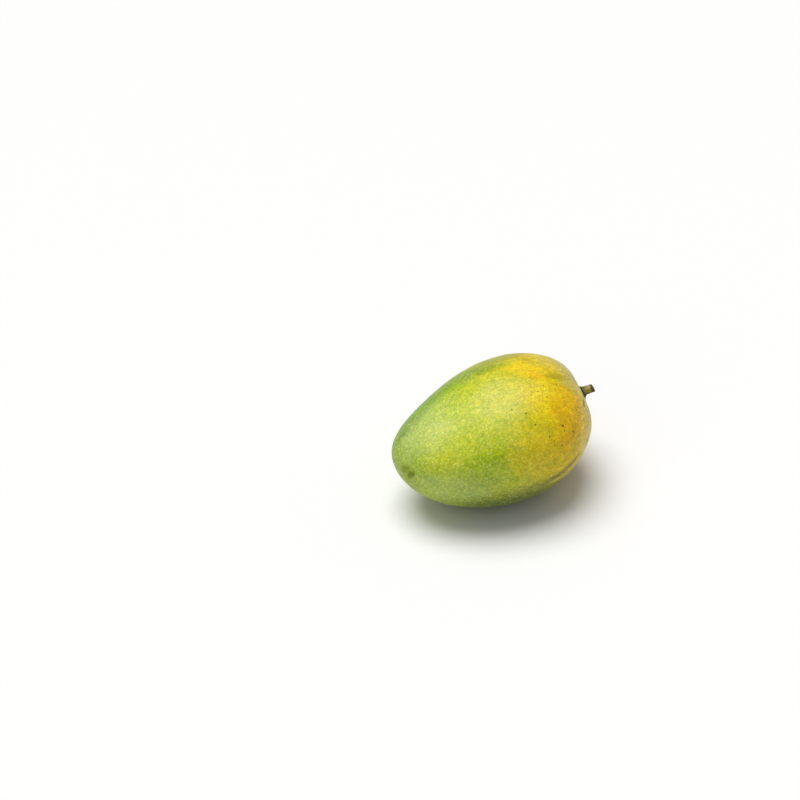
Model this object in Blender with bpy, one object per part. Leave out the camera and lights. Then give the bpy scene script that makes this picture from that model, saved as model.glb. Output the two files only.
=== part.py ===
"""A mango lying on its cheek, with the cut stub of its stem.

Metres, +Z up, +X towards the stem end. The origin is on the surface that the fruit lies on, under the
middle of the whole thing. The skin is one formula: a sphere's directions are stretched to the fruit's
length, width and thickness, then bent and swollen by a few named amounts. It is worked out with the
fruit's axis along X, its belly (the straighter side, with the beak) to +Y and its upper cheek to +Z,
and then laid down on the lower cheek.
"""

from collections import namedtuple
from math import acos, cos, exp, pi, radians, sin, sqrt

import bmesh
import bpy
from mathutils import Matrix, Vector

# The fruit's main sizes
LENGTH = 0.1120
WIDTH = 0.0865
THICKNESS = 0.0705

# How its girth differs from an even oval's along the axis, where the reach runs from -1 at the beak to 1
# at the stem: the shares that grow with the reach, its square and its cube
WIDTH_FULLNESS = (0.196, 0.096, -0.063)
THICKNESS_FULLNESS = (0.121, -0.022)
# The centre line's sideways bend towards the belly, which grows in the same three ways
BEND = (0.0088, 0.0034, -0.0017)

# Local swells (a height above the skin) and hollows (one below it). turn is the place round the axis, in
# degrees from the belly over the upper cheek, and spread the angle over which the form dies away, in
# radians
Form = namedtuple("Form", "reach turn height spread")
STEM_END = Form(1.0, 0.0, -0.0010, 0.305)
STEM_SEAT = Form(0.978, 121.0, -0.0023, 0.212)
SHOULDER = Form(0.79, 79.0, 0.0011, 0.264)
SINUS = Form(-0.53, 32.0, -0.0013, 0.42)
BEAK = Form(-0.95, 49.0, 0.0010, 0.35)
LOCAL_FORMS = (STEM_END, STEM_SEAT, SHOULDER, SINUS, BEAK)

# The turn about its own axis and the tip about Y with which it comes to rest, and its flat resting spot
REST_ROLL = radians(-3.9)
REST_PITCH = radians(-4.5)
FLAT_DEPTH = 0.0005

# The stem's stub, which leaves the skin squarely and leans a little at the cut. Its root stands in a
# shallow socket in the stem's seat
STEM_LENGTH = 0.0086
STEM_RADIUS = 0.0020
STEM_END_SWELL = 0.0002
STEM_END_BEVEL = 0.0003
STEM_LEAN = -0.0005
FOOT_RADIUS = 0.0034
FOOT_HEIGHT = 0.0005
FOOT_FLARE_LENGTH = 0.0016
FOOT_LOBES = 5
FOOT_LOBE_SHARE = 0.25
ROOT_RADIUS = 0.0024
ROOT_DEPTH = 0.0014
# The space between pieces that touch
GAP = 0.0003

# How finely the meshes follow the shapes
FRUIT_SEGMENTS = 60
FRUIT_RINGS = 48
STEM_SIDES = 30
STEM_RINGS = 10
STEM_RING_CROWDING = 1.5
SMOOTH_ANGLE = radians(40)
NORMAL_STEP = 0.02

# Finishes: red, green, blue and alpha, and roughness
SKIN_COLOUR = (0.47, 0.52, 0.08, 1.0)
SKIN_ROUGHNESS = 0.45
STEM_COLOUR = (0.17, 0.14, 0.04, 1.0)
STEM_ROUGHNESS = 0.80


def clear_scene():
    for item in list(bpy.data.objects):
        bpy.data.objects.remove(item, do_unlink=True)


def make_material(name, colour, roughness):
    material = bpy.data.materials.new(name)
    material.use_nodes = True
    shader = material.node_tree.nodes["Principled BSDF"]
    shader.inputs["Base Color"].default_value = colour
    shader.inputs["Roughness"].default_value = roughness
    shader.inputs["Metallic"].default_value = 0.0
    return material


def finish_object(name, bm, material):
    mesh = bpy.data.meshes.new(name)
    bm.to_mesh(mesh)
    bm.free()
    mesh.shade_smooth()
    mesh.set_sharp_from_angle(angle=SMOOTH_ANGLE)
    mesh.materials.append(material)
    piece = bpy.data.objects.new(name, mesh)
    bpy.context.scene.collection.objects.link(piece)
    return piece


def fullness(shares, reach):
    """How many times as wide as an even oval the fruit is at this place along its axis."""
    return 1.0 + sum(share * reach ** (power + 1) for power, share in enumerate(shares))


def direction_of(form):
    """The unit direction from the fruit's middle to a local form."""
    across = sqrt(1.0 - form.reach ** 2)
    turn = radians(form.turn)
    return Vector((form.reach, across * cos(turn), across * sin(turn)))


def skin_point(direction):
    """The point of the skin that a unit direction from the fruit's middle leads to."""
    reach = direction.x
    bend = sum(amount * reach ** (power + 1) for power, amount in enumerate(BEND))
    point = Vector((
        LENGTH / 2 * reach,
        WIDTH / 2 * fullness(WIDTH_FULLNESS, reach) * direction.y + bend,
        THICKNESS / 2 * fullness(THICKNESS_FULLNESS, reach) * direction.z,
    ))
    for form in LOCAL_FORMS:
        angle = acos(max(-1.0, min(1.0, direction.dot(direction_of(form)))))
        point += form.height * exp(-(angle / form.spread) ** 2) * direction
    return point


def skin_normal(direction):
    """The direction square to the skin, worked out from the skin a small step away on each side."""
    tangent = direction.orthogonal().normalized()
    runs = []
    for step in (tangent * NORMAL_STEP, direction.cross(tangent) * NORMAL_STEP):
        runs.append(skin_point((direction + step).normalized()) - skin_point((direction - step).normalized()))
    return runs[0].cross(runs[1]).normalized()


def resting_turn():
    """The rotation from the fruit's own axes to the way it lies."""
    return Matrix.Rotation(REST_PITCH, 4, "Y") @ Matrix.Rotation(REST_ROLL, 4, "X")


def stem_frame():
    """The stem's own frame in the fruit's: its foot in its seat's middle, +Z square to the skin, +Y up."""
    direction = direction_of(STEM_SEAT)
    outward = skin_normal(direction)
    side = Vector((0.0, 0.0, 1.0)).cross(outward).normalized()
    axes = Matrix((side, outward.cross(side), outward)).transposed()
    return Matrix.Translation(skin_point(direction)) @ axes.to_4x4()


def fruit_shape():
    """The fruit as a closed mesh about its own axis."""
    bm = bmesh.new()
    bmesh.ops.create_uvsphere(bm, u_segments=FRUIT_SEGMENTS, v_segments=FRUIT_RINGS, radius=1.0)
    bmesh.ops.rotate(bm, verts=bm.verts, matrix=Matrix.Rotation(pi / 2, 3, "Y"))
    for vertex in bm.verts:
        vertex.co = skin_point(vertex.co.normalized())
    bmesh.ops.recalc_face_normals(bm, faces=bm.faces)
    return bm


def root_radius(height, angle):
    """The round root that stands in the socket."""
    return ROOT_RADIUS


def stub_radius(height, angle):
    """The stub's radius at a height over the skin: a lobed foot, a waist, and a slight swell at the cut."""
    lobe = 1.0 + FOOT_LOBE_SHARE * cos(FOOT_LOBES * angle)
    flare = (FOOT_RADIUS - STEM_RADIUS) * lobe * exp((FOOT_HEIGHT - height) / FOOT_FLARE_LENGTH)
    return STEM_RADIUS + flare + STEM_END_SWELL * (height / STEM_LENGTH) ** 2


def cut_radius(height, angle):
    """The cut end, inside its worn edge."""
    return stub_radius(height, angle) - STEM_END_BEVEL


def stem_shape():
    """The stub as one closed tube, drawn up ring by ring in the stem's frame."""
    rise = STEM_LENGTH - STEM_END_BEVEL - FOOT_HEIGHT
    steps = [(step / STEM_RINGS) ** STEM_RING_CROWDING for step in range(STEM_RINGS + 1)]
    stations = [(-ROOT_DEPTH, root_radius), (FOOT_HEIGHT, root_radius)]
    stations += [(FOOT_HEIGHT + rise * step, stub_radius) for step in steps]
    stations += [(STEM_LENGTH, cut_radius)]
    bm = bmesh.new()
    bmesh.ops.create_circle(bm, cap_ends=True, segments=STEM_SIDES, radius=1.0)
    top = bm.faces[:][0]
    for number, (height, radius) in enumerate(stations):
        if number:
            top = bmesh.ops.extrude_discrete_faces(bm, faces=[top])["faces"][0]
        lean = STEM_LEAN * (max(0.0, height) / STEM_LENGTH) ** 2
        for corner, vertex in enumerate(top.verts):
            angle = 2 * pi * corner / STEM_SIDES
            reach = radius(height, angle)
            vertex.co = (reach * cos(angle), reach * sin(angle) + lean, height)
    bmesh.ops.holes_fill(bm, edges=bm.edges, sides=STEM_SIDES)
    bmesh.ops.recalc_face_normals(bm, faces=bm.faces)
    return bm


def socket_shape():
    """The cutter of the stem's socket: a straight plug that stands a gap wider and deeper than the root."""
    bm = bmesh.new()
    depth = ROOT_DEPTH + GAP
    bmesh.ops.create_cone(
        bm, cap_ends=True, segments=STEM_SIDES,
        radius1=ROOT_RADIUS + GAP, radius2=ROOT_RADIUS + GAP, depth=2 * depth,
    )
    return bm


def cut_resting_spot(bm):
    """Cuts the underside flat at the surface, and closes the cut with one face."""
    cut = bmesh.ops.bisect_plane(
        bm, geom=bm.verts[:] + bm.edges[:] + bm.faces[:],
        plane_co=(0.0, 0.0, 0.0), plane_no=(0.0, 0.0, -1.0), clear_outer=True,
    )
    rim = [item for item in cut["geom_cut"] if isinstance(item, bmesh.types.BMEdge)]
    bmesh.ops.edgeloop_fill(bm, edges=rim)
    bmesh.ops.recalc_face_normals(bm, faces=bm.faces)


def middle_of(shapes):
    """The middle, in X and Y, of the box round several meshes."""
    points = [vertex.co for bm in shapes for vertex in bm.verts]
    xs = [point.x for point in points]
    ys = [point.y for point in points]
    return Vector(((min(xs) + max(xs)) / 2, (min(ys) + max(ys)) / 2, 0.0))


def build():
    clear_scene()
    fruit_bm = fruit_shape()
    stem_bm = stem_shape()
    socket_bm = socket_shape()
    for bm in (stem_bm, socket_bm):
        bmesh.ops.transform(bm, matrix=stem_frame(), verts=bm.verts)
    shapes = (fruit_bm, stem_bm, socket_bm)
    for bm in shapes:
        bmesh.ops.transform(bm, matrix=resting_turn(), verts=bm.verts)
    lowest = min(vertex.co.z for vertex in fruit_bm.verts)
    move = -middle_of((fruit_bm, stem_bm)) - Vector((0.0, 0.0, lowest + FLAT_DEPTH))
    for bm in shapes:
        bmesh.ops.translate(bm, verts=bm.verts, vec=move)
    cut_resting_spot(fruit_bm)

    skin = make_material("mango_skin", SKIN_COLOUR, SKIN_ROUGHNESS)
    bark = make_material("stem_bark", STEM_COLOUR, STEM_ROUGHNESS)
    fruit = finish_object("fruit", fruit_bm, skin)
    finish_object("stem", stem_bm, bark)
    socket = finish_object("stem_socket", socket_bm, bark)
    socket.hide_render = True
    socket.display_type = "WIRE"
    carve = fruit.modifiers.new("stem_socket", "BOOLEAN")
    carve.operation = "DIFFERENCE"
    carve.solver = "EXACT"
    carve.object = socket


build()
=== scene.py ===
from collections import namedtuple
from math import acos, atan, cos, exp, pi, radians, sin, sqrt, tan

import bmesh
import bpy
from mathutils import Matrix, Vector, noise


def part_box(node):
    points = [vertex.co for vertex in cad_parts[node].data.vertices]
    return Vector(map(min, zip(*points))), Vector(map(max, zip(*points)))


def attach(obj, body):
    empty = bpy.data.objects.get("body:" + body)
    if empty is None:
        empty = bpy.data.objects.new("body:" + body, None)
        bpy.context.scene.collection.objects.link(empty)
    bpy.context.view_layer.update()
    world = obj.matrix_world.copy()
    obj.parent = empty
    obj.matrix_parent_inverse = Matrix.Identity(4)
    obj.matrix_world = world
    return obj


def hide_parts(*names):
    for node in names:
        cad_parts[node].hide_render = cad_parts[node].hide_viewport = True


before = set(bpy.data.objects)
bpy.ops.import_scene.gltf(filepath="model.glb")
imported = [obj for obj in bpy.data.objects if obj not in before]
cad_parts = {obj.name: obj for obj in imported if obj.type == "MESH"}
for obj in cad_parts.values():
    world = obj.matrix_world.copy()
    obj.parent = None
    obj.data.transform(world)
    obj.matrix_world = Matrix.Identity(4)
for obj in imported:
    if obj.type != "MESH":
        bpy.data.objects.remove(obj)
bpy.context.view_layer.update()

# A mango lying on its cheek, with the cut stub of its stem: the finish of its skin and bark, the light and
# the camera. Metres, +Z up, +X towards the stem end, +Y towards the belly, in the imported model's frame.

# The fruit's main sizes, fullness and bend, as in the CAD
LENGTH = 0.1120
WIDTH = 0.0865
THICKNESS = 0.0705
WIDTH_FULLNESS = (0.196, 0.096, -0.063)
THICKNESS_FULLNESS = (0.121, -0.022)
BEND = (0.0088, 0.0034, -0.0017)

# Its local swells and hollows: a reach along the axis, a turn round it from the belly in degrees, a height
# and the angle over which the form dies away
Form = namedtuple("Form", "reach turn height spread")
STEM_END = Form(1.0, 0.0, -0.0010, 0.305)
STEM_SEAT = Form(0.978, 121.0, -0.0023, 0.212)
SHOULDER = Form(0.79, 79.0, 0.0011, 0.264)
SINUS = Form(-0.53, 32.0, -0.0013, 0.42)
BEAK = Form(-0.95, 49.0, 0.0010, 0.35)
LOCAL_FORMS = (STEM_END, STEM_SEAT, SHOULDER, SINUS, BEAK)
REST_ROLL = radians(-3.9)
REST_PITCH = radians(-4.5)
NORMAL_STEP = 0.02

# The fine skin: how often each edge of the first cube is cut, and the rings round the stem's seat inside
# which it is cut finer again
SKIN_CUTS = 107
SEAT_RINGS = (0.50, 0.17)
# The flesh gives softly where the fruit rests
REST_SOFTNESS = 0.0003
# Slow waves of the skin: a height, and how many there are across the fruit
WAVES = ((0.00030, 2.3), (0.00010, 6.1), (0.00005, 13.0))
# The whole skin lies this far inside the CAD's, so that no wave passes it
SKIN_SETTLE = 0.00014

# The crease that runs from the stem's seat down the near shoulder, from place to place
CREASE = (
    Form(0.900, 134.0, -0.00030, 0.016),
    Form(0.850, 141.5, -0.00062, 0.015),
    Form(0.800, 151.0, -0.00050, 0.020),
    Form(0.715, 157.0, -0.00020, 0.036),
    Form(0.570, 169.0, 0.0, 0.060),
)
CREASE_WANDER = 0.010
CREASE_END = 0.95
# Round the stem's foot the skin dips, drawn together in a low lip with small folds running out from it
DIP_DEPTH = 0.0014
DIP_RADIUS = 0.0075
LIP_RADIUS = 0.0047
LIP_RISE = 0.00020
LIP_WIDTH = 0.0010
FOLD_RADIUS = 0.0066
FOLD_DEPTH = 0.00020
FOLD_WIDTH = 0.0032
FOLD_COUNT = 2.4

# The stem's stub, as in the CAD
STEM_LENGTH = 0.0086
STEM_RADIUS = 0.0020
STEM_END_SWELL = 0.0002
STEM_LEAN = -0.0005
FOOT_RADIUS = 0.0034
FOOT_HEIGHT = 0.0005
FOOT_FLARE_LENGTH = 0.0016
FOOT_LOBES = 5
FOOT_LOBE_SHARE = 0.25
STEM_RING_CROWDING = 1.5
# Its finer shape: dried lobes hug the skin, two of them longer, at these turns from the near side
FOOT_SINK = 0.0022
# Under this height over the CAD's skin the foot goes straight down into the dip
FOOT_FLARE_END = 0.0002
LONG_LOBES = ((radians(222.0), 0.0031), (radians(124.0), 0.0028))
LONG_LOBE_SPREAD = 0.34
LONG_LOBE_HEIGHT = 0.0019
STEM_SIDES = 96
STEM_RINGS = 64
# Ridges along it and wrinkles across it: a height, how many there are round it and along a metre of it
STEM_RELIEF = ((0.00017, 1.5, 90.0), (0.00007, 3.6, 420.0), (0.00004, 7.0, 1500.0))
SCAR_RING = 0.0046
SCAR_RING_RISE = 0.00018
SCAR_RING_WIDTH = 0.0006
# The cut's rim is worn round, and the cut slants a little to the near upper side. Inside its rim come the
# bark, the wood and the pith: how deep each ring lies under the rim and how wide it is as a share of the rim
CUT_WEAR = 0.00055
WEAR_RINGS = 5
CUT_SLANT = 0.0016
CUT_TOWARDS = Vector((-0.60, 0.80))
CUT_RINGS = (
    (0.00004, 0.90), (0.00018, 0.84), (0.00022, 0.78), (0.00012, 0.70), (0.00010, 0.52), (0.00013, 0.36),
    (0.00030, 0.26), (0.00038, 0.14), (0.00036, 0.05),
)
CUT_ROUGHNESS = 0.00006

# The skin's own colours from the beak to the stem end, each with its place along X
SKIN_BANDS = (
    (-0.057, (0.30, 0.41, 0.022, 1.0)),
    (-0.036, (0.39, 0.50, 0.028, 1.0)),
    (-0.012, (0.47, 0.51, 0.013, 1.0)),
    (0.008, (0.56, 0.50, 0.006, 1.0)),
    (0.026, (0.66, 0.49, 0.003, 1.0)),
    (0.050, (0.66, 0.46, 0.040, 1.0)),
)
# Soft-edged patches: a middle, the way their length runs, half their length, width and depth, a colour and
# how far they cover what is under them
Patch = namedtuple("Patch", "middle along size colour cover")
BLUSHES_AND_PAINTED_LIGHT = (
    # The underside, darker and greener: partly the skin's own deeper green, partly painted shade, with the low band
    # at the front darkest as a painted contact shadow
    Patch((0.000, -0.002, 0.000), (1.0, 0.0, 0.0), (0.056, 0.040, 0.017), (0.14, 0.21, 0.004, 1.0), 0.85),
    Patch((-0.006, -0.039, 0.011), (1.0, 0.0, 0.03), (0.050, 0.017, 0.0185), (0.06, 0.10, 0.002, 1.0), 0.90),
    # The back
    Patch((0.020, 0.036, 0.048), (1.0, 0.0, 0.1), (0.026, 0.012, 0.014), (0.70, 0.54, 0.010, 1.0), 0.70),
    Patch((-0.026, 0.032, 0.036), (1.0, 0.0, 0.2), (0.028, 0.018, 0.020), (0.27, 0.42, 0.030, 1.0), 0.70),
    Patch((0.030, 0.034, 0.024), (0.6, 0.8, 0.0), (0.020, 0.014, 0.014), (0.42, 0.48, 0.025, 1.0), 0.75),
    Patch((0.047, 0.014, 0.030), (0.0, 0.8, 0.5), (0.018, 0.010, 0.012), (0.66, 0.54, 0.060, 1.0), 0.60),
    # The near side, from the lower left to the stem end
    Patch((-0.020, -0.041, 0.042), (1.0, 0.0, 0.0), (0.030, 0.012, 0.011), (0.32, 0.42, 0.004, 1.0), 0.80),
    Patch((-0.019, -0.039, 0.048), (1.0, 0.0, 0.0), (0.013, 0.008, 0.008), (0.27, 0.38, 0.002, 1.0), 0.60),
    Patch((-0.028, -0.040, 0.034), (1.0, -0.1, 0.1), (0.016, 0.008, 0.006), (0.24, 0.31, 0.010, 1.0), 0.45),
    Patch((-0.030, -0.022, 0.059), (1.0, 0.0, 0.3), (0.024, 0.014, 0.012), (0.54, 0.57, 0.040, 1.0), 0.60),
    Patch((-0.040, -0.031, 0.046), (1.0, -0.2, 0.2), (0.018, 0.010, 0.008), (0.50, 0.51, 0.015, 1.0), 0.45),
    Patch((0.000, -0.019, 0.068), (1.0, 0.0, 0.0), (0.019, 0.013, 0.010), (0.63, 0.59, 0.055, 1.0), 0.80),
    Patch((0.019, -0.022, 0.064), (1.0, -0.3, -0.4), (0.015, 0.012, 0.010), (0.76, 0.57, 0.003, 1.0), 0.85),
    Patch((0.014, -0.040, 0.044), (1.0, 0.0, 0.0), (0.020, 0.010, 0.014), (0.64, 0.46, 0.001, 1.0), 0.80),
    Patch((-0.001, -0.0415, 0.045), (1.0, 0.0, -0.2), (0.012, 0.008, 0.007), (0.60, 0.47, 0.002, 1.0), 0.60),
    Patch((0.030, -0.027, 0.056), (0.2, -0.5, -0.7), (0.017, 0.009, 0.010), (0.72, 0.42, 0.001, 1.0), 0.85),
    Patch((0.026, -0.035, 0.049), (0.2, -0.5, -0.7), (0.012, 0.006, 0.007), (0.58, 0.35, 0.001, 1.0), 0.75),
    # Pale and bluish at the stem end's edge: partly the skin's own peach and bloom, partly a painted reflection
    Patch((0.048, -0.022, 0.038), (0.2, 0.4, 0.9), (0.029, 0.023, 0.011), (0.71, 0.54, 0.165, 1.0), 0.85),
    Patch((0.037, -0.020, 0.055), (0.3, -0.8, -0.4), (0.009, 0.004, 0.005), (0.62, 0.36, 0.010, 1.0), 0.75),
    Patch((0.0375, -0.0310, 0.0385), (0.4, -0.5, -0.8), (0.010, 0.005, 0.005), (0.80, 0.64, 0.150, 1.0), 0.45),
    # These three are pale bluish grey round the stem's seat: partly bloom, partly a painted reflection along the
    # edge
    Patch((0.041, 0.001, 0.061), (0.3, 1.0, 0.0), (0.017, 0.008, 0.008), (0.50, 0.44, 0.120, 1.0), 0.85),
    Patch((0.0410, -0.0120, 0.0565), (0.3, -0.9, -0.2), (0.009, 0.004, 0.005), (0.60, 0.47, 0.140, 1.0), 0.55),
    Patch((0.0460, -0.0135, 0.0490), (-0.2, -0.9, -0.4), (0.010, 0.004, 0.004), (0.42, 0.43, 0.140, 1.0), 0.70),
    Patch((0.008, 0.020, 0.067), (1.0, 0.2, 0.0), (0.026, 0.008, 0.009), (0.31, 0.33, 0.030, 1.0), 0.80),
    Patch((-0.007, 0.011, 0.068), (1.0, -0.2, 0.1), (0.015, 0.006, 0.010), (0.30, 0.36, 0.002, 1.0), 0.80),
    Patch((-0.030, 0.010, 0.058), (1.0, -0.1, 0.5), (0.026, 0.010, 0.010), (0.27, 0.39, 0.020, 1.0), 0.75),
    # Deep green along the upper left edge: partly the skin's own green streaks, partly painted shade
    Patch((-0.046, 0.006, 0.046), (0.6, 0.1, 0.8), (0.020, 0.010, 0.014), (0.13, 0.24, 0.010, 1.0), 0.80),
    Patch((-0.032, 0.015, 0.054), (1.0, -0.05, 0.45), (0.034, 0.011, 0.010), (0.14, 0.25, 0.012, 1.0), 0.65),
)
# Golden and orange patches with firmer edges, on the crown
GOLDS = (
    Patch((0.015, 0.001, 0.071), (1.0, -0.25, 0.0), (0.012, 0.0085, 0.006), (0.78, 0.57, 0.001, 1.0), 0.90),
    Patch((0.020, -0.007, 0.069), (1.0, -0.60, -0.3), (0.006, 0.0044, 0.006), (0.86, 0.49, 0.001, 1.0), 0.75),
    Patch((0.010, 0.002, 0.071), (1.0, -0.20, 0.0), (0.006, 0.0032, 0.004), (0.78, 0.52, 0.001, 1.0), 0.60),
    Patch((-0.006, 0.002, 0.068), (1.0, -0.10, 0.1), (0.008, 0.0040, 0.006), (0.62, 0.56, 0.001, 1.0), 0.45),
    Patch((0.033, -0.021, 0.059), (0.4, -0.70, -0.5), (0.009, 0.0045, 0.005), (0.84, 0.50, 0.001, 1.0), 0.45),
)
# Bare spots near the beak, with firm edges
BARE_SPOTS = (
    Patch((-0.0559, -0.0153, 0.0347), (0.39, -0.82, 0.41), (0.0044, 0.003, 0.0019), (0.17, 0.24, 0.001, 1.0), 0.90),
    Patch((-0.0545, -0.0193, 0.0333), (0.29, -0.61, 0.74), (0.0040, 0.003, 0.0018), (0.12, 0.16, 0.001, 1.0), 0.95),
)
# Where the bloom is rubbed off along the streaks
RUBS = (
    Patch((-0.0400, 0.0060, 0.0530), (0.7, -0.2, 0.6), (0.0150, 0.0026, 0.0050), (0.23, 0.42, 0.003, 1.0), 0.65),
    Patch((-0.0220, 0.0035, 0.0645), (1.0, -0.4, 0.3), (0.0080, 0.0028, 0.0040), (0.32, 0.48, 0.003, 1.0), 0.65),
    Patch((0.0315, -0.0065, 0.0650), (1.0, 0.2, -0.3), (0.0080, 0.0030, 0.0035), (0.40, 0.33, 0.004, 1.0), 0.88),
    Patch((0.0120, 0.0140, 0.0675), (1.0, 0.1, -0.1), (0.0140, 0.0012, 0.0030), (0.32, 0.31, 0.004, 1.0), 0.65),
    Patch((0.0240, 0.0100, 0.0670), (1.0, 0.1, -0.1), (0.0110, 0.0010, 0.0030), (0.38, 0.34, 0.006, 1.0), 0.55),
    # The last is a thin dark line along the edge above the stem
    Patch((0.0442, -0.0010, 0.0572), (0.1, 1.0, 0.1), (0.0090, 0.0006, 0.0020), (0.22, 0.21, 0.060, 1.0), 0.50),
)
# A rub along the streaks is drawn out and worn through: where the noise of the streaks shows its edges
RUB_WEAR = (0.34, 0.50)
# Where it is thickest
BLOOMS = (
    Patch((-0.044, -0.010, 0.052), (1.0, 0.0, 0.6), (0.018, 0.016, 0.010), None, 0.17),
    Patch((-0.038, -0.036, 0.031), (1.0, -0.4, 0.0), (0.026, 0.012, 0.010), None, 0.12),
    Patch((-0.003, -0.020, 0.067), (1.0, 0.1, 0.0), (0.020, 0.014, 0.012), None, 0.08),
    Patch((0.049, -0.016, 0.042), (0.2, 0.4, 0.9), (0.024, 0.020, 0.006), None, 0.08),
    Patch((0.034, 0.010, 0.064), (0.8, 0.6, 0.0), (0.018, 0.010, 0.006), None, 0.09),
)
BLOOM_COLOUR = (0.70, 0.76, 0.56, 1.0)
BLOOM_SHARE = 0.05

# Streaks run from end to end: how far the pattern is drawn out along the fruit, and the girth it is laid on
STREAK_ALONG = 0.22
STREAK_GIRTH = 0.036
STREAK_WIDTH = 0.0021
GREEN_STREAK = (0.62, 0.82, 0.26, 1.0)
# The skin's tones: how wide the blotches are, and how much lighter or darker they make it
TONES = ((0.0055, 0.15), (0.0026, 0.21), (0.0011, 0.26), (0.00055, 0.38))
# How strongly the tones work on the red, green and blue of the green and of the ripe skin
TONE_ON_GREEN = (1.15, 0.95, 1.20, 1.0)
TONE_ON_RIPE = (0.86, 1.10, 1.45, 1.0)
PLAIN_TONE = (1.0, 1.0, 1.0, 1.0)
BRIGHTEST = (0.92, 0.92, 0.92)

# The breathing dots, in a close fine set and a wider one of larger dots: a spacing, the smallest and
# largest size as a share of it, and how far they cover the green and the ripe skin
Dots = namedtuple("Dots", "spacing smallest largest on_green on_ripe")
FINE_DOTS = Dots(0.00140, 0.30, 0.62, 0.30, 0.16)
WIDE_DOTS = Dots(0.00290, 0.12, 0.25, 0.42, 0.20)
DOTS_ON_GREEN = (0.80, 0.80, 0.18, 1.0)
DOTS_ON_RIPE = (0.86, 0.72, 0.06, 1.0)
PIT_COLOUR = (0.20, 0.13, 0.006, 1.0)
NET_ON_GREEN = (0.72, 0.80, 0.40, 1.0)
NET_ON_RIPE = (0.88, 0.78, 0.40, 1.0)
NET_SHARE = 0.40
FINE_DOT_RISE = 0.000015
WIDE_DOT_RISE = 0.000030
GRAIN_RISE = 0.000020
HAMMER_RISE = 0.00009
SKIN_ROUGHNESS = 0.40

# Dark specks, scattered: a spacing, a size as a share of it, and how far they cover the skin. The larger
# ones have places of their own
SCATTERED_SPECKS = ((0.0042, 0.11, 0.90), (0.0027, 0.14, 0.55), (0.0019, 0.17, 0.36))
SPECK_COLOUR = (0.08, 0.05, 0.005, 1.0)
SPECKS = (
    ((-0.0017, -0.0261, 0.0645), 0.00042),
    ((0.0046, -0.0294, 0.0626), 0.00045),
    ((0.0232, -0.0341, 0.0533), 0.00062),
    ((0.0234, -0.0355, 0.0510), 0.00045),
    ((0.0292, -0.0340, 0.0480), 0.00055),
    ((0.0077, -0.0345, 0.0583), 0.00038),
    ((0.0124, -0.0187, 0.0673), 0.00036),
    ((0.0157, -0.0187, 0.0668), 0.00040),
    ((0.0207, -0.0145, 0.0671), 0.00040),
    ((0.0286, -0.0133, 0.0647), 0.00042),
    ((0.0375, -0.0130, 0.0596), 0.00036),
    ((0.0077, -0.0347, 0.0581), 0.00040),
    ((0.0205, -0.0396, 0.0453), 0.00050),
    ((0.0139, -0.0386, 0.0517), 0.00042),
    ((0.0196, -0.0219, 0.0644), 0.00036),
)
SCARS_AND_CREASE_SHADE = (
    Patch((0.0230, -0.0383, 0.0294), (1.0, 0.36, 0.30), (0.0175, 0.0028, 0.0030), (0.14, 0.095, 0.020, 1.0), 0.85),
    Patch((0.0240, -0.0370, 0.0269), (1.0, 0.38, 0.28), (0.0165, 0.0012, 0.0030), (0.72, 0.58, 0.110, 1.0), 0.60),
    # The last is no scar: a thin dark line of painted shade along the crease beside the stem
    Patch((0.0432, -0.0160, 0.0514), (-0.33, -0.9, -0.2), (0.0085, 0.0005, 0.0020), (0.10, 0.12, 0.030, 1.0), 0.85),
)
# Streaks that run out from the stem's foot: how wide they are as a share of the way round, and between
# which distances from it they die away
RAY_WIDTH = 0.11
RAY_REACH = (0.004, 0.017)
RAY_SHARE = 0.50
RAY_COLOUR = (0.66, 0.78, 0.42, 1.0)

# The bark's colours along the stub from its foot, in the stem's own frame
BARK_BANDS = (
    (0.0006, (0.040, 0.050, 0.012, 1.0)),
    (0.0022, (0.080, 0.095, 0.022, 1.0)),
    (0.0034, (0.300, 0.290, 0.040, 1.0)),
    (0.0052, (0.400, 0.340, 0.030, 1.0)),
    (0.0062, (0.240, 0.150, 0.040, 1.0)),
    (0.0068, (0.070, 0.026, 0.010, 1.0)),
)
BARK_PAINTED_HIGHLIGHT_AND_TAN = (
    # A painted highlight: pale grey-green on the upper side near the foot; the next is the bark's own tan near the
    # cut
    Patch((-0.0018, 0.0012, 0.0024), (0.0, 0.2, 1.0), (0.0012, 0.0009, 0.0020), (0.300, 0.330, 0.140, 1.0), 0.80),
    Patch((-0.0012, 0.0018, 0.0056), (0.0, 0.0, 1.0), (0.0012, 0.0009, 0.0014), (0.480, 0.300, 0.180, 1.0), 0.75),
)
BARK_UNDERSIDE = (0.070, 0.045, 0.010, 1.0)
WOOD_COLOURS = (
    (0.0, (0.050, 0.022, 0.010, 1.0)),
    (0.00050, (0.150, 0.070, 0.030, 1.0)),
    (0.00120, (0.300, 0.170, 0.090, 1.0)),
    (0.00150, (0.090, 0.034, 0.014, 1.0)),
    (0.00200, (0.045, 0.016, 0.008, 1.0)),
)

# The camera, as the photograph was taken: it looks at the fruit's middle, which shows this many pixels
# right of and below the picture's own middle
FRUIT_MIDDLE = Vector((0.0012, -0.0009, 0.0348))
CAMERA_AZIMUTH = radians(-21.94)
CAMERA_RISE = radians(33.9)
CAMERA_DISTANCE = 0.9
LENS = 76.64
SENSOR = 36.0
PICTURE_SIDE = 800
MIDDLE_RIGHT = 98.5
MIDDLE_BELOW = 31.2

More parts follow.
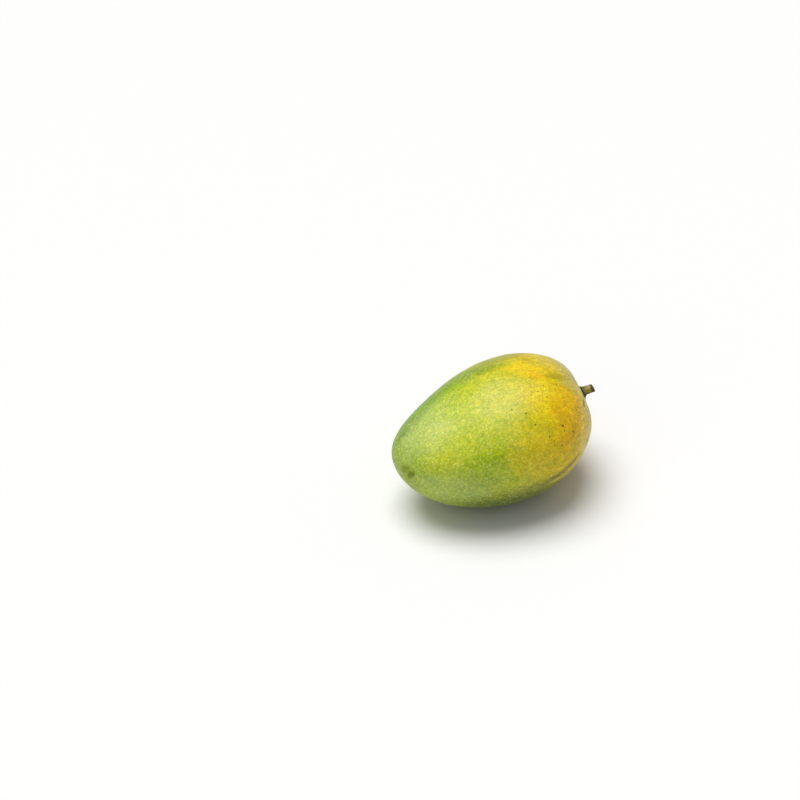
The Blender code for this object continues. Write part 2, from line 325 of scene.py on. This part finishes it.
# The light: soft lamps far off, each with where it stands, how wide it looks and how strong it is
FLOOR_RADIUS = 4.0
FLOOR_DROP = 0.0002
FLOOR_COLOUR = (0.80, 0.80, 0.795, 1.0)
SKY_COLOUR = (1.0, 1.0, 1.0, 1.0)
SKY_STRENGTH = 0.30
BACKDROP_STRENGTH = 0.97
Lamp = namedtuple("Lamp", "name towards width strength")
LAMPS = (
    Lamp("overhead_softbox", (-0.15, 0.15, 1.0), radians(45.0), 2.8),
    Lamp("window_softbox", (-1.3, -1.2, 1.5), radians(60.0), 0.36),
)


def fullness(shares, reach):
    """How many times as wide as an even oval the fruit is at this place along its axis."""
    return 1.0 + sum(share * reach ** (power + 1) for power, share in enumerate(shares))


def direction_of(form):
    """The unit direction from the fruit's middle to a local form."""
    across = sqrt(1.0 - form.reach ** 2)
    turn = radians(form.turn)
    return Vector((form.reach, across * cos(turn), across * sin(turn)))


def angle_between(one, other):
    return acos(max(-1.0, min(1.0, one.dot(other))))


def bell(distance, spread):
    """A soft bump: 1 in its middle, dying away over its spread."""
    return exp(-(distance / spread) ** 2)


def skin_point(direction):
    """The point of the skin that a unit direction from the fruit's middle leads to."""
    reach = direction.x
    bend = sum(amount * reach ** (power + 1) for power, amount in enumerate(BEND))
    point = Vector((
        LENGTH / 2 * reach,
        WIDTH / 2 * fullness(WIDTH_FULLNESS, reach) * direction.y + bend,
        THICKNESS / 2 * fullness(THICKNESS_FULLNESS, reach) * direction.z,
    ))
    for form in LOCAL_FORMS:
        point += form.height * bell(angle_between(direction, direction_of(form)), form.spread) * direction
    return point


def skin_normal(direction):
    """The direction square to the skin, worked out from the skin a small step away on each side."""
    tangent = direction.orthogonal().normalized()
    runs = []
    for step in (tangent * NORMAL_STEP, direction.cross(tangent) * NORMAL_STEP):
        runs.append(skin_point((direction + step).normalized()) - skin_point((direction - step).normalized()))
    return runs[0].cross(runs[1]).normalized()


def stem_frame():
    """The stem's own frame in the fruit's: its foot in its seat's middle, +Z square to the skin, +Y up."""
    direction = direction_of(STEM_SEAT)
    outward = skin_normal(direction)
    side = Vector((0.0, 0.0, 1.0)).cross(outward).normalized()
    axes = Matrix((side, outward.cross(side), outward)).transposed()
    return Matrix.Translation(skin_point(direction)) @ axes.to_4x4()


def corner_lists(points):
    """The lowest and the highest corner round some points."""
    low = Vector(min(point[axis] for point in points) for axis in range(3))
    high = Vector(max(point[axis] for point in points) for axis in range(3))
    return low, high


def resting_place(plain_skin):
    """The move and turn that lay the fruit, given by its plain skin's points, onto its CAD solid."""
    turn = Matrix.Rotation(REST_PITCH, 4, "Y") @ Matrix.Rotation(REST_ROLL, 4, "X")
    low, high = corner_lists([turn @ point for point in plain_skin])
    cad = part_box("fruit")
    move = (cad[0] + cad[1] - low - high) / 2
    move.z = cad[1].z - high.z
    return Matrix.Translation(move) @ turn


def fine_sphere():
    """Directions spread evenly over a sphere, as the corners of a fine cube blown up, finer at the seat."""
    bm = bmesh.new()
    bmesh.ops.create_cube(bm, size=2.0)
    bmesh.ops.subdivide_edges(bm, edges=bm.edges[:], cuts=SKIN_CUTS, use_grid_fill=True)
    for vertex in bm.verts:
        vertex.co = Vector(tan(pi / 4 * part) for part in vertex.co).normalized()
    seat = direction_of(STEM_SEAT)
    for reach in SEAT_RINGS:
        ring = [edge for edge in bm.edges if all(angle_between(v.co, seat) < reach for v in edge.verts)]
        bmesh.ops.subdivide_edges(bm, edges=ring, cuts=1, use_grid_fill=True)
        for vertex in bm.verts:
            vertex.co.normalize()
    return bm


def crease_depth(direction):
    """How far the skin rises (below zero, how far it sinks) in the crease beside the stem."""
    place = direction + CREASE_WANDER * noise.noise_vector(direction * 9.0)
    deepest = 0.0
    for start, end in zip(CREASE, CREASE[1:]):
        foot = direction_of(start)
        run = direction_of(end) - foot
        share = max(0.0, min(1.0, (place - foot).dot(run) / run.length_squared))
        away = (place - foot - run * share).length
        height = start.height + (end.height - start.height) * share
        spread = start.spread + (end.spread - start.spread) * share
        deepest = min(deepest, height * bell(away, spread))
    return deepest


def pucker_rise(offset):
    """The dip, the lip and the small folds round the stem's foot, by the way from the seat."""
    away = offset.length
    dip = DIP_DEPTH * bell(away, DIP_RADIUS)
    lip = LIP_RISE * bell(away - LIP_RADIUS, LIP_WIDTH)
    fold = FOLD_DEPTH * noise.noise(offset.normalized() * FOLD_COUNT + offset * 60.0)
    return lip + fold * bell(away - FOLD_RADIUS, FOLD_WIDTH) - dip


def rest_softly(height):
    """The height above the surface, levelled off where the skin would reach it or pass it."""
    if height > REST_SOFTNESS:
        return height
    return max(0.0, height + REST_SOFTNESS) ** 2 / (4 * REST_SOFTNESS)


def make_piece(name, bm, materials):
    mesh = bpy.data.meshes.new(name)
    bmesh.ops.recalc_face_normals(bm, faces=bm.faces[:])
    bm.to_mesh(mesh)
    bm.free()
    mesh.shade_smooth()
    for material in materials:
        mesh.materials.append(material)
    piece = bpy.data.objects.new(name, mesh)
    bpy.context.scene.collection.objects.link(piece)
    return piece


def make_fruit(bm, plain_skin, place):
    """The fruit's skin: the CAD's formula on the fine sphere, with its waves, crease and puckered seat."""
    seat = direction_of(STEM_SEAT)
    seat_point = skin_point(seat)
    for vertex, point in zip(bm.verts, plain_skin):
        direction = vertex.co.copy()
        rise = sum(height * noise.noise(direction * count) for height, count in WAVES) - SKIN_SETTLE
        if angle_between(direction, seat) < CREASE_END:
            rise += crease_depth(direction) + pucker_rise(point - seat_point)
        vertex.co = place @ (point + rise * direction)
        vertex.co.z = rest_softly(vertex.co.z)
    fruit = make_piece("mango_fruit", bm, [skin_material(place @ stem_frame())])
    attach(fruit, "root")
    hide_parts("fruit")
    return fruit


def stub_radius(height, angle):
    """The stub's radius at a height over the skin: a lobed foot, a waist, and a slight swell at the cut."""
    lobe = 1.0 + FOOT_LOBE_SHARE * cos(FOOT_LOBES * angle)
    flare = (FOOT_RADIUS - STEM_RADIUS) * lobe * exp((FOOT_HEIGHT - height) / FOOT_FLARE_LENGTH)
    return STEM_RADIUS + flare + STEM_END_SWELL * (height / STEM_LENGTH) ** 2


def bark_radius(height, angle):
    """The stub's radius with its long lobes, ridges, wrinkles and the ring of an old scar."""
    radius = stub_radius(max(FOOT_FLARE_END, height), angle)
    for turn, length in LONG_LOBES:
        away = abs((angle - turn + pi) % (2 * pi) - pi)
        radius += length * exp(-away / LONG_LOBE_SPREAD) * bell(max(0.0, height), LONG_LOBE_HEIGHT)
    for rise, count, along in STEM_RELIEF:
        radius += rise * noise.noise(Vector((count * cos(angle), count * sin(angle), along * height)))
    return radius + SCAR_RING_RISE * bell(height - SCAR_RING, SCAR_RING_WIDTH)


def make_stem(place):
    """The stub: one tube drawn up ring by ring from under the skin to the cut, and on into the cut's rings."""
    top_height = STEM_LENGTH - CUT_WEAR
    rise = top_height - FOOT_HEIGHT
    stations = [(-FOOT_SINK, 1.0, -0.0005), (-FOOT_SINK / 2, 1.0, -0.0001), (0.0, 1.0, 0.0)]
    for step in range(STEM_RINGS + 1):
        stations.append((FOOT_HEIGHT + rise * (step / STEM_RINGS) ** STEM_RING_CROWDING, 1.0, 0.0))
    for step in range(1, WEAR_RINGS + 1):
        turned = pi / 2 * step / WEAR_RINGS
        stations.append((top_height + CUT_WEAR * sin(turned), 1.0, CUT_WEAR * (cos(turned) - 1.0)))
    rim = len(stations)
    stations += [(STEM_LENGTH - depth, share, -CUT_WEAR) for depth, share in CUT_RINGS]
    bm = bmesh.new()
    bmesh.ops.create_circle(bm, cap_ends=True, segments=STEM_SIDES, radius=1.0)
    top = bm.faces[:][0]
    bark = []
    for number, (height, share, inset) in enumerate(stations):
        if number:
            top = bmesh.ops.extrude_discrete_faces(bm, faces=[top])["faces"][0]
        if number == rim:
            bark = [face for face in bm.faces if face is not top]
        lean = STEM_LEAN * (max(0.0, height) / STEM_LENGTH) ** 2
        for corner, vertex in enumerate(top.verts):
            angle = 2 * pi * corner / STEM_SIDES
            reach = share * (bark_radius(height, angle) + inset)
            x, y = reach * cos(angle), reach * sin(angle)
            nearness = max(0.0, (1.0 + CUT_TOWARDS.dot(Vector((x, y))) / STEM_RADIUS) / 2)
            z = height - CUT_SLANT * nearness ** 1.4 * max(0.0, height / STEM_LENGTH) ** 4
            if number > rim:
                z += CUT_ROUGHNESS * noise.noise(Vector((x, y, 0.0)) * 2500.0)
            vertex.co = (x, y + lean, z)
    bmesh.ops.holes_fill(bm, edges=bm.edges[:], sides=STEM_SIDES)
    for face in bm.faces:
        face.material_index = 1
    for face in bark:
        if face.is_valid:
            face.material_index = 0
    frame_of_stem = place @ stem_frame()
    bmesh.ops.transform(bm, matrix=frame_of_stem, verts=bm.verts)
    stem = make_piece("mango_stem", bm, [bark_material(frame_of_stem), wood_material(frame_of_stem)])
    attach(stem, "root")
    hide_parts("stem")
    return stem


class Finish:
    """A material being made up from nodes on the piece's own coordinates."""

    def __init__(self, name):
        self.material = bpy.data.materials.new(name)
        self.material.use_nodes = True
        self.tree = self.material.node_tree
        self.shader = self.tree.nodes["Principled BSDF"]
        self.place = self.add("ShaderNodeTexCoord").outputs["Object"]

    def feed(self, socket, value):
        """Links a socket to another one, or sets it to a plain value."""
        if isinstance(value, bpy.types.NodeSocket):
            self.tree.links.new(value, socket)
        else:
            socket.default_value = value

    def add(self, kind, inputs=None, **settings):
        node = self.tree.nodes.new(kind)
        for name, value in settings.items():
            setattr(node, name, value)
        for socket, value in (inputs or {}).items():
            self.feed(node.inputs[socket], value)
        return node

    def sum(self, operation, one, other=0.0):
        """One number from two, by a Math node's operation."""
        return self.add("ShaderNodeMath", {0: one, 1: other}, operation=operation).outputs[0]

    def move(self, operation, one, other):
        """One vector from two, by a Vector Math node's operation."""
        return self.add("ShaderNodeVectorMath", {0: one, 1: other}, operation=operation).outputs["Vector"]

    def share(self, value, none, full):
        """Rises smoothly from 0 where the value is none to 1 where it is full."""
        inputs = {"Value": value, "From Min": none, "From Max": full}
        return self.add("ShaderNodeMapRange", inputs, interpolation_type="SMOOTHSTEP").outputs["Result"]

    def blend(self, share, under, over, way="MIX"):
        """Lays one colour over another."""
        return self.add(
            "ShaderNodeMix", {"Factor": share, 6: under, 7: over}, data_type="RGBA", blend_type=way,
        ).outputs[2]

    def fitted(self, place, middle, along, size):
        """The place as seen from an egg-shaped patch: 1 long in every direction at the patch's border."""
        turn = Vector(along).to_track_quat("X", "Z").to_euler()
        inputs = {"Vector": place, "Location": middle, "Rotation": turn, "Scale": size}
        return self.add("ShaderNodeMapping", inputs, vector_type="TEXTURE").outputs["Vector"]

    def within(self, frame_of_part):
        """The place in a part's own frame."""
        inputs = {
            "Vector": self.place,
            "Location": frame_of_part.to_translation(),
            "Rotation": frame_of_part.to_euler(),
        }
        return self.add("ShaderNodeMapping", inputs, vector_type="TEXTURE").outputs["Vector"]

    def length(self, vector):
        return self.add("ShaderNodeVectorMath", {0: vector}, operation="LENGTH").outputs["Value"]

    def clouds(self, place, grain, detail=2.0, roughness=0.5):
        """Cloudy noise of about the grain's size."""
        inputs = {"Vector": place, "Scale": 1.0 / grain, "Detail": detail, "Roughness": roughness}
        return self.add("ShaderNodeTexNoise", inputs)

    def shaken(self, place, grain, reach):
        """The place moved about by noise of a grain, by up to about the reach."""
        noise_colour = self.clouds(place, grain).outputs["Color"]
        centred = self.move("SUBTRACT", noise_colour, (0.5, 0.5, 0.5))
        return self.move("ADD", place, self.move("MULTIPLY", centred, (2 * reach,) * 3))

    def cells(self, place, spacing):
        """Scattered points of a mean spacing: how far the nearest one is, in spacings, and its own colour."""
        made = self.add("ShaderNodeTexVoronoi", {"Vector": place, "Scale": 1.0 / spacing})
        return made.outputs["Distance"], made.outputs["Color"]

    def toned(self, colour, place, tones, weights=PLAIN_TONE):
        """Makes a colour lighter and darker in blotches of several sizes."""
        swing = 0.0
        for grain, amount in tones:
            blotch = self.sum("SUBTRACT", self.clouds(place, grain).outputs["Fac"], 0.5)
            swing = self.sum("ADD", self.sum("MULTIPLY", blotch, 2 * amount), swing)
        change = self.add("ShaderNodeVectorMath", {0: weights[:3] if isinstance(weights, tuple) else weights,
                                                   "Scale": swing}, operation="SCALE").outputs["Vector"]
        tone = self.move("ADD", change, (1.0, 1.0, 1.0))
        return self.move("MINIMUM", self.move("MULTIPLY", colour, tone), BRIGHTEST)

    def ramp(self, value, low, high, stops):
        """A run of colours by value between two limits; each stop is a value and a colour."""
        inputs = {"Value": value, "From Min": low, "From Max": high}
        share = self.add("ShaderNodeMapRange", inputs).outputs["Result"]
        node = self.add("ShaderNodeValToRGB", {"Fac": share})
        node.color_ramp.interpolation = "EASE"
        elements = node.color_ramp.elements
        while len(elements) < len(stops):
            elements.new(1.0)
        for element, (stop, colour) in zip(elements, stops):
            element.position = (stop - low) / (high - low)
            element.color = colour
        return node.outputs["Color"]

    def patch(self, place, patch, inner=0.30, outer=1.45):
        """How far a soft-edged patch covers a place, from 0 to its own share."""
        seen = self.fitted(place, patch.middle, patch.along, patch.size)
        return self.sum("MULTIPLY", self.share(self.length(seen), outer, inner), patch.cover)


def lay_dots(finish, dots, colour, ripe):
    """Lays a set of pale dots over the skin, and gives their cover and how far each place is from a dot."""
    place = finish.shaken(finish.place, dots.spacing / 2, dots.spacing / 6)
    distance, chance = finish.cells(place, dots.spacing)
    pick = finish.add("ShaderNodeSeparateColor", {0: chance})
    inputs = {"Value": pick.outputs["Red"], "To Min": dots.smallest, "To Max": dots.largest}
    size = finish.add("ShaderNodeMapRange", inputs).outputs["Result"]
    near = finish.sum("DIVIDE", distance, size)
    dot = finish.share(near, 1.0, 0.25)
    cover = finish.add("ShaderNodeMapRange", {"Value": ripe, "To Min": dots.on_green, "To Max": dots.on_ripe})
    pale = finish.blend(ripe, DOTS_ON_GREEN, DOTS_ON_RIPE)
    colour = finish.blend(finish.sum("MULTIPLY", dot, cover.outputs["Result"]), colour, pale)
    pit = finish.sum("MULTIPLY", finish.share(near, 0.50, 0.20), finish.share(pick.outputs["Green"], 0.66, 0.78))
    return finish.blend(finish.sum("MULTIPLY", pit, 0.60), colour, PIT_COLOUR), dot, distance


def skin_material(frame_of_stem):
    finish = Finish("mango_skin")
    centred = finish.move("SUBTRACT", finish.place, FRUIT_MIDDLE)
    across = finish.move("MULTIPLY", centred, (0.0, 1.0, 1.0))
    around = finish.add("ShaderNodeVectorMath", {0: across}, operation="NORMALIZE").outputs["Vector"]
    around = finish.move("MULTIPLY", around, (STREAK_GIRTH,) * 3)
    streaky = finish.move("ADD", around, finish.move("MULTIPLY", centred, (STREAK_ALONG, 0.0, 0.0)))
    wander = finish.move("SUBTRACT", finish.clouds(streaky, 0.009).outputs["Color"], (0.5, 0.5, 0.5))
    soft_place = finish.move("ADD", finish.place, finish.move("MULTIPLY", wander, (0.024, 0.010, 0.010)))
    rough_place = finish.shaken(soft_place, 0.0028, 0.0020)
    sharp_place = finish.shaken(finish.place, 0.0016, 0.0010)

    along = finish.add("ShaderNodeSeparateXYZ", {0: soft_place}).outputs["X"]
    ripe = finish.share(along, -0.005, 0.025)
    colour = finish.ramp(along, SKIN_BANDS[0][0], SKIN_BANDS[-1][0], SKIN_BANDS)
    for patch in BLUSHES_AND_PAINTED_LIGHT:
        colour = finish.blend(finish.patch(rough_place, patch), colour, patch.colour)
    for patch in GOLDS:
        colour = finish.blend(finish.patch(rough_place, patch, 0.60, 1.15), colour, patch.colour)

    # Streaks that run out from the stem's foot
    from_foot = finish.within(frame_of_stem)
    from_stem = finish.length(from_foot)
    way = finish.move("MULTIPLY", finish.shaken(from_foot, 0.006, 0.0006), (1.0, 1.0, 0.0))
    way = finish.add("ShaderNodeVectorMath", {0: way}, operation="NORMALIZE").outputs["Vector"]
    way = finish.move("ADD", way, finish.move("MULTIPLY", from_foot, (9.0, 9.0, 9.0)))
    rays = finish.share(finish.clouds(way, RAY_WIDTH, 3.0, 0.6).outputs["Fac"], 0.46, 0.62)
    rays = finish.sum("MULTIPLY", rays, finish.share(from_stem, RAY_REACH[1], RAY_REACH[0]))
    colour = finish.blend(finish.sum("MULTIPLY", rays, RAY_SHARE), colour, RAY_COLOUR, "MULTIPLY")

    # Green streaks from end to end, and blotches a little greener and a little more golden than the rest
    streak = finish.share(finish.clouds(streaky, STREAK_WIDTH, 3.0, 0.6).outputs["Fac"], 0.46, 0.68)
    colour = finish.blend(finish.sum("MULTIPLY", streak, 0.40), colour, GREEN_STREAK, "MULTIPLY")
    green = finish.share(finish.clouds(soft_place, 0.0034, 4.0, 0.6).outputs["Fac"], 0.50, 0.68)
    colour = finish.blend(finish.sum("MULTIPLY", green, 0.30), colour, GREEN_STREAK, "MULTIPLY")
    gold = finish.share(finish.clouds(rough_place, 0.0036, 3.0).outputs["Fac"], 0.50, 0.66)
    gold_share = finish.sum("ADD", finish.sum("MULTIPLY", ripe, 0.18), 0.20)
    colour = finish.blend(finish.sum("MULTIPLY", gold, gold_share), colour, (1.0, 0.78, 0.05, 1.0), "OVERLAY")
    colour = finish.toned(colour, finish.place, TONES, finish.blend(ripe, TONE_ON_GREEN, TONE_ON_RIPE))

    # The bloom, rubbed off in places, where the bare skin is deep green
    wear = finish.clouds(streaky, STREAK_WIDTH * 0.8, 3.0, 0.6).outputs["Fac"]
    worn = finish.share(wear, RUB_WEAR[0], RUB_WEAR[1])
    broken = finish.share(finish.clouds(sharp_place, 0.0010, 3.0, 0.6).outputs["Fac"], 0.34, 0.56)
    mottled = finish.sum("ADD", finish.sum("MULTIPLY", broken, 0.45), 0.55)
    bare = [finish.patch(sharp_place, patch, 0.55, 1.25) for patch in BARE_SPOTS]
    bare = [finish.sum("MULTIPLY", mask, mottled) for mask in bare]
    rubbed = finish.sum("MAXIMUM", bare[0], bare[1])
    for patch in RUBS:
        mask = finish.sum("MULTIPLY", finish.patch(sharp_place, patch, 0.50, 1.25), worn)
        colour = finish.blend(mask, colour, patch.colour)
        rubbed = finish.sum("MAXIMUM", rubbed, mask)
    thick = finish.share(finish.clouds(rough_place, 0.013, 4.0, 0.6).outputs["Fac"], 0.34, 0.66)
    green_share = finish.sum("SUBTRACT", 1.0, finish.sum("MULTIPLY", ripe, 0.85))
    bloom = finish.sum("MULTIPLY", finish.sum("MULTIPLY", thick, BLOOM_SHARE), green_share)
    for patch in BLOOMS:
        bloom = finish.sum("ADD", bloom, finish.patch(rough_place, patch))
    bloom = finish.sum("MULTIPLY", bloom, finish.sum("SUBTRACT", 1.0, rubbed))
    colour = finish.blend(bloom, colour, BLOOM_COLOUR)

    # The dots, in a fine net of darker skin
    colour, fine_dot, between = lay_dots(finish, FINE_DOTS, colour, ripe)
    net = finish.sum("MULTIPLY", finish.share(between, 0.38, 0.70), NET_SHARE)
    colour = finish.blend(net, colour, finish.blend(ripe, NET_ON_GREEN, NET_ON_RIPE), "MULTIPLY")
    colour, wide_dot, _ = lay_dots(finish, WIDE_DOTS, colour, ripe)

    for mask, patch in zip(bare, BARE_SPOTS):
        colour = finish.blend(mask, colour, patch.colour)

    # Specks, scars, painted shade along the crease beside the stem, and the dark line where the stem's foot meets
    # the skin
    ragged = finish.shaken(finish.place, 0.0005, 0.00022)
    specked = 0.0
    for spacing, size, cover in SCATTERED_SPECKS:
        distance, _ = finish.cells(ragged, spacing)
        speck = finish.sum("MULTIPLY", finish.share(distance, size, size / 2), cover)
        specked = finish.sum("MAXIMUM", specked, finish.sum("MULTIPLY", speck, ripe))
    for middle, radius in SPECKS:
        away = finish.add("ShaderNodeVectorMath", {0: ragged, 1: middle}, operation="DISTANCE").outputs["Value"]
        specked = finish.sum("MAXIMUM", specked, finish.share(away, radius * 1.4, radius * 0.6))
    colour = finish.blend(finish.sum("MULTIPLY", specked, 0.93), colour, SPECK_COLOUR)
    for patch in SCARS_AND_CREASE_SHADE:
        mask = finish.sum("MULTIPLY", finish.patch(sharp_place, patch, 0.45, 1.15), broken)
        colour = finish.blend(mask, colour, patch.colour)
    russet = finish.sum("MULTIPLY", finish.share(from_stem, 0.0058, 0.0040), broken)
    colour = finish.blend(finish.sum("MULTIPLY", russet, 0.55), colour, (0.16, 0.14, 0.03, 1.0))
    finish.feed(finish.shader.inputs["Base Color"], colour)

    # A satin skin, duller under the bloom, with raised dots over a fine grain
    grain = finish.clouds(finish.place, 0.0007, 3.0).outputs["Fac"]
    rough = finish.sum("ADD", finish.sum("MULTIPLY", bloom, 0.5), SKIN_ROUGHNESS)
    rough = finish.sum("ADD", rough, finish.sum("MULTIPLY", grain, 0.08))
    finish.feed(finish.shader.inputs["Roughness"], rough)
    hammered = finish.clouds(finish.place, 0.0026, 2.0).outputs["Fac"]
    relief = finish.sum("MULTIPLY", fine_dot, FINE_DOT_RISE)
    for height, rise in ((wide_dot, WIDE_DOT_RISE), (grain, GRAIN_RISE), (hammered, HAMMER_RISE)):
        relief = finish.sum("ADD", relief, finish.sum("MULTIPLY", height, rise))
    bump = finish.add("ShaderNodeBump", {"Height": relief, "Distance": 1.0})
    finish.feed(finish.shader.inputs["Normal"], bump.outputs["Normal"])
    finish.shader.inputs["Specular IOR Level"].default_value = 0.20
    finish.shader.inputs["Sheen Weight"].default_value = 0.07
    finish.shader.inputs["Sheen Roughness"].default_value = 0.32
    finish.shader.inputs["Sheen Tint"].default_value = (1.0, 1.0, 0.95, 1.0)
    return finish.material


def bark_material(frame_of_stem):
    """Green bark, dark at the foot and dried brown towards the cut, with fibres along it."""
    finish = Finish("stem_bark")
    own = finish.within(frame_of_stem)
    ragged = finish.shaken(own, 0.0012, 0.0004)
    parts = finish.add("ShaderNodeSeparateXYZ", {0: ragged})
    colour = finish.ramp(parts.outputs["Z"], BARK_BANDS[0][0], BARK_BANDS[-1][0], BARK_BANDS)
    below = finish.share(parts.outputs["Y"], -0.0004, -0.0018)
    colour = finish.blend(finish.sum("MULTIPLY", below, 0.88), colour, BARK_UNDERSIDE)
    # A painted highlight near the foot, and a tan patch near the cut
    for patch in BARK_PAINTED_HIGHLIGHT_AND_TAN:
        colour = finish.blend(finish.patch(ragged, patch), colour, patch.colour)
    lengthwise = finish.move("MULTIPLY", own, (1.0, 1.0, 0.20))
    fibres = finish.clouds(lengthwise, 0.00045, 3.0, 0.6).outputs["Fac"]
    colour = finish.blend(finish.share(fibres, 0.60, 0.38), colour, (0.50, 0.42, 0.32, 1.0), "MULTIPLY")
    colour = finish.toned(colour, own, ((0.0009, 0.35), (0.0003, 0.35)))
    distance, _ = finish.cells(own, 0.0011)
    dots = finish.share(distance, 0.20, 0.10)
    colour = finish.blend(finish.sum("MULTIPLY", dots, 0.45), colour, (0.55, 0.50, 0.30, 1.0))
    finish.feed(finish.shader.inputs["Base Color"], colour)
    grain = finish.clouds(own, 0.00025, 3.0).outputs["Fac"]
    relief = finish.sum("ADD", finish.sum("MULTIPLY", fibres, 0.00010), finish.sum("MULTIPLY", grain, 0.00003))
    bump = finish.add("ShaderNodeBump", {"Height": relief, "Distance": 1.0})
    finish.feed(finish.shader.inputs["Normal"], bump.outputs["Normal"])
    finish.feed(finish.shader.inputs["Roughness"], finish.sum("ADD", finish.sum("MULTIPLY", grain, 0.25), 0.50))
    finish.shader.inputs["Specular IOR Level"].default_value = 0.30
    return finish.material


def wood_material(frame_of_stem):
    """The cut end: dark pith, pale dry wood with rays, and the dark stained rim of the bark."""
    finish = Finish("stem_cut")
    own = finish.within(frame_of_stem)
    ragged = finish.shaken(own, 0.0007, 0.00022)
    flat = finish.move("MULTIPLY", ragged, (1.0, 1.0, 0.0))
    from_axis = finish.length(finish.move("ADD", flat, (0.0, -STEM_LEAN, 0.0)))
    colour = finish.ramp(from_axis, WOOD_COLOURS[0][0], WOOD_COLOURS[-1][0], WOOD_COLOURS)
    ray = finish.add("ShaderNodeVectorMath", {0: flat}, operation="NORMALIZE").outputs["Vector"]
    rays = finish.clouds(ray, 0.16, 2.0).outputs["Fac"]
    colour = finish.blend(finish.share(rays, 0.54, 0.36), colour, (0.60, 0.50, 0.42, 1.0), "MULTIPLY")
    colour = finish.toned(colour, own, ((0.0010, 0.30), (0.0003, 0.35)))
    finish.feed(finish.shader.inputs["Base Color"], colour)
    grain = finish.clouds(own, 0.00018, 3.0).outputs["Fac"]
    relief = finish.sum("ADD", finish.sum("MULTIPLY", rays, 0.00006), finish.sum("MULTIPLY", grain, 0.00004))
    bump = finish.add("ShaderNodeBump", {"Height": relief, "Distance": 1.0})
    finish.feed(finish.shader.inputs["Normal"], bump.outputs["Normal"])
    finish.shader.inputs["Roughness"].default_value = 0.85
    finish.shader.inputs["Specular IOR Level"].default_value = 0.20
    return finish.material


def make_floor():
    bm = bmesh.new()
    bmesh.ops.create_circle(bm, cap_ends=True, segments=96, radius=FLOOR_RADIUS)
    bmesh.ops.translate(bm, verts=bm.verts, vec=(0.0, 0.0, -FLOOR_DROP))
    finish = Finish("pale_floor")
    finish.shader.inputs["Base Color"].default_value = FLOOR_COLOUR
    finish.shader.inputs["Roughness"].default_value = 0.9
    floor = make_piece("floor", bm, [finish.material])


def make_lamp(lamp):
    """A wide soft lamp, so far off that it lights the whole floor evenly."""
    glow = bpy.data.lights.new(lamp.name, "SUN")
    glow.angle = lamp.width
    glow.energy = lamp.strength
    light = bpy.data.objects.new(lamp.name, glow)
    light.rotation_mode = "QUATERNION"
    light.rotation_quaternion = Vector(lamp.towards).to_track_quat("Z", "Y")
    bpy.context.scene.collection.objects.link(light)


def make_sky():
    """An even white surround, which the camera itself sees as a brighter backdrop."""
    world = bpy.data.worlds.new("studio")
    bpy.context.scene.world = world
    world.use_nodes = True
    tree = world.node_tree
    surround = tree.nodes["Background"]
    surround.inputs["Color"].default_value = SKY_COLOUR
    surround.inputs["Strength"].default_value = SKY_STRENGTH
    backdrop = tree.nodes.new("ShaderNodeBackground")
    backdrop.inputs["Color"].default_value = SKY_COLOUR
    backdrop.inputs["Strength"].default_value = BACKDROP_STRENGTH
    seen = tree.nodes.new("ShaderNodeLightPath")
    choice = tree.nodes.new("ShaderNodeMixShader")
    tree.links.new(seen.outputs["Is Camera Ray"], choice.inputs[0])
    tree.links.new(surround.outputs[0], choice.inputs[1])
    tree.links.new(backdrop.outputs[0], choice.inputs[2])
    tree.links.new(choice.outputs[0], tree.nodes["World Output"].inputs["Surface"])


def make_camera():
    """Looks past the fruit's middle by the angles that put it where the photograph has it."""
    lens = bpy.data.cameras.new("camera")
    lens.lens = LENS
    lens.sensor_width = SENSOR
    lens.clip_start = 0.01
    camera = bpy.data.objects.new("camera", lens)
    away = Vector((
        sin(CAMERA_AZIMUTH) * cos(CAMERA_RISE),
        -cos(CAMERA_AZIMUTH) * cos(CAMERA_RISE),
        sin(CAMERA_RISE),
    ))
    focal = LENS / SENSOR * PICTURE_SIDE
    camera.matrix_world = (
        Matrix.Translation(FRUIT_MIDDLE + away * CAMERA_DISTANCE)
        @ (-away).to_track_quat("-Z", "Y").to_matrix().to_4x4()
        @ Matrix.Rotation(atan(MIDDLE_RIGHT / focal), 4, "Y")
        @ Matrix.Rotation(atan(MIDDLE_BELOW / focal), 4, "X")
    )
    bpy.context.scene.collection.objects.link(camera)
    bpy.context.scene.camera = camera


def make_mango():
    sphere = fine_sphere()
    plain_skin = [skin_point(vertex.co) for vertex in sphere.verts]
    place = resting_place(plain_skin)
    make_fruit(sphere, plain_skin, place)
    make_stem(place)


make_mango()
make_floor()
make_sky()
for lamp in LAMPS:
    make_lamp(lamp)
make_camera()
bpy.context.scene.view_settings.view_transform = "Standard"
